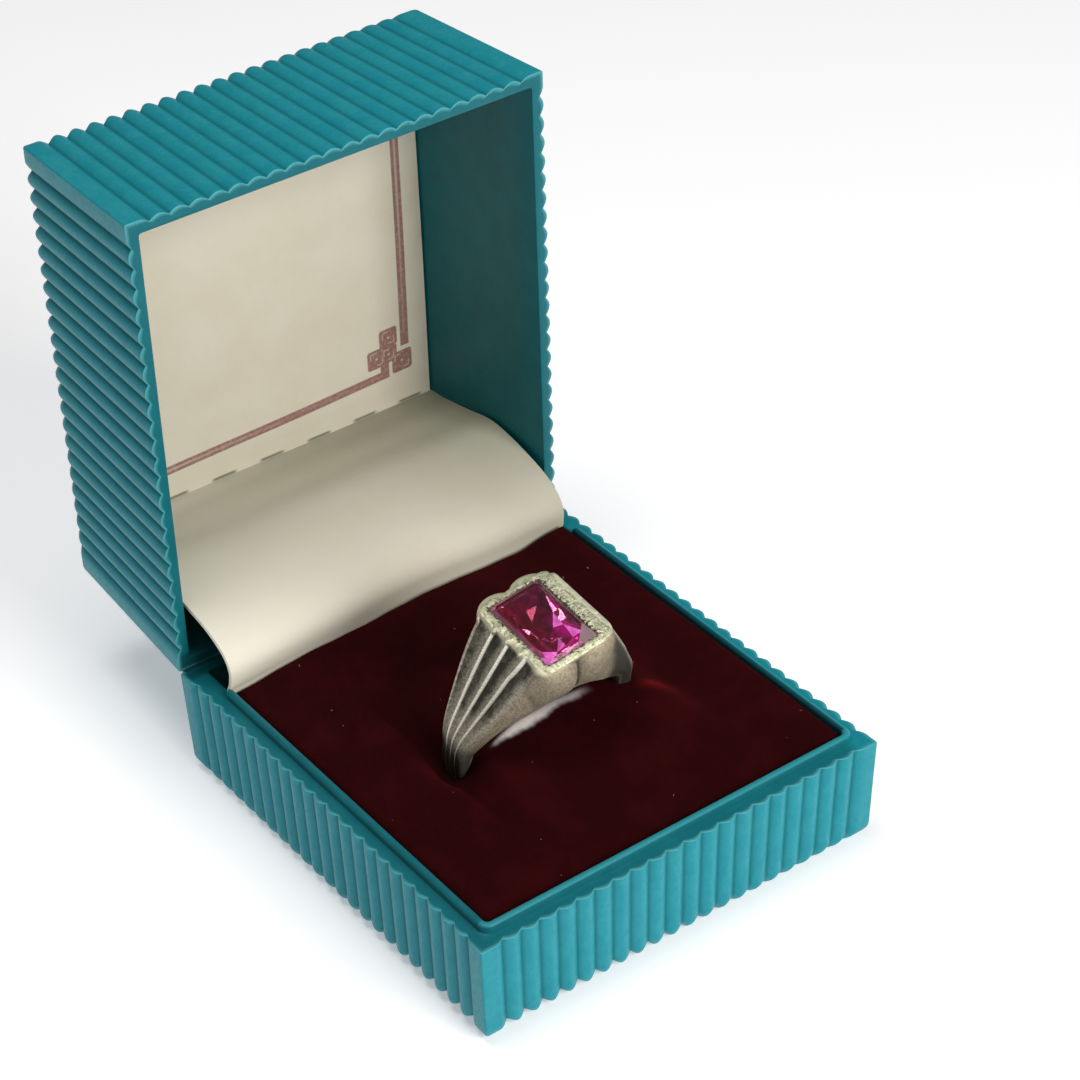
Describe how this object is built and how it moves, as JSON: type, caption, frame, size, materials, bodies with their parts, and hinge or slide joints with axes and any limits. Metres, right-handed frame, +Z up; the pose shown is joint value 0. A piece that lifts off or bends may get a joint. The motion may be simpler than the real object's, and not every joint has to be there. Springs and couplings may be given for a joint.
{
  "type": "gemstone ring in a hinged ring box",
  "caption": "Cast ring with fluted shoulders and a rectangular magenta stone, standing in the velvet pad of a ribbed ring box whose hinged lid is open.",
  "frame": {"origin": "middle of the underside of the box's base", "axes": "+X along the hinge, +Y to the hinge side, +Z up; the ring's finger hole runs along Y"},
  "size_m": [0.0472, 0.0734, 0.0635],
  "materials": {
    "teal_plastic": "satin moulded plastic",
    "pin_steel": "drawn wire",
    "red_velvet": "short pile",
    "cast_silver": "worn, tarnished in the recesses",
    "magenta_stone": "faceted and polished",
    "cream_card": "satin card"
  },
  "bodies": {
    "base": {"base_shell": "teal_plastic", "hinge_pin": "pin_steel", "velvet_pad": "red_velvet", "ring_band": "cast_silver", "gemstone": "magenta_stone"},
    "lid": {"lid_shell": "teal_plastic", "lid_panel": "cream_card", "hinge_flap": "cream_card"}
  },
  "joints": [
    {"name": "lid_hinge", "type": "hinge", "parent": "base", "child": "lid", "pos_m": [0, 0.02575, 0.012], "axis": [1, 0, 0], "range_deg": [0, 90], "deforming": ["hinge_flap"]}
  ]
}
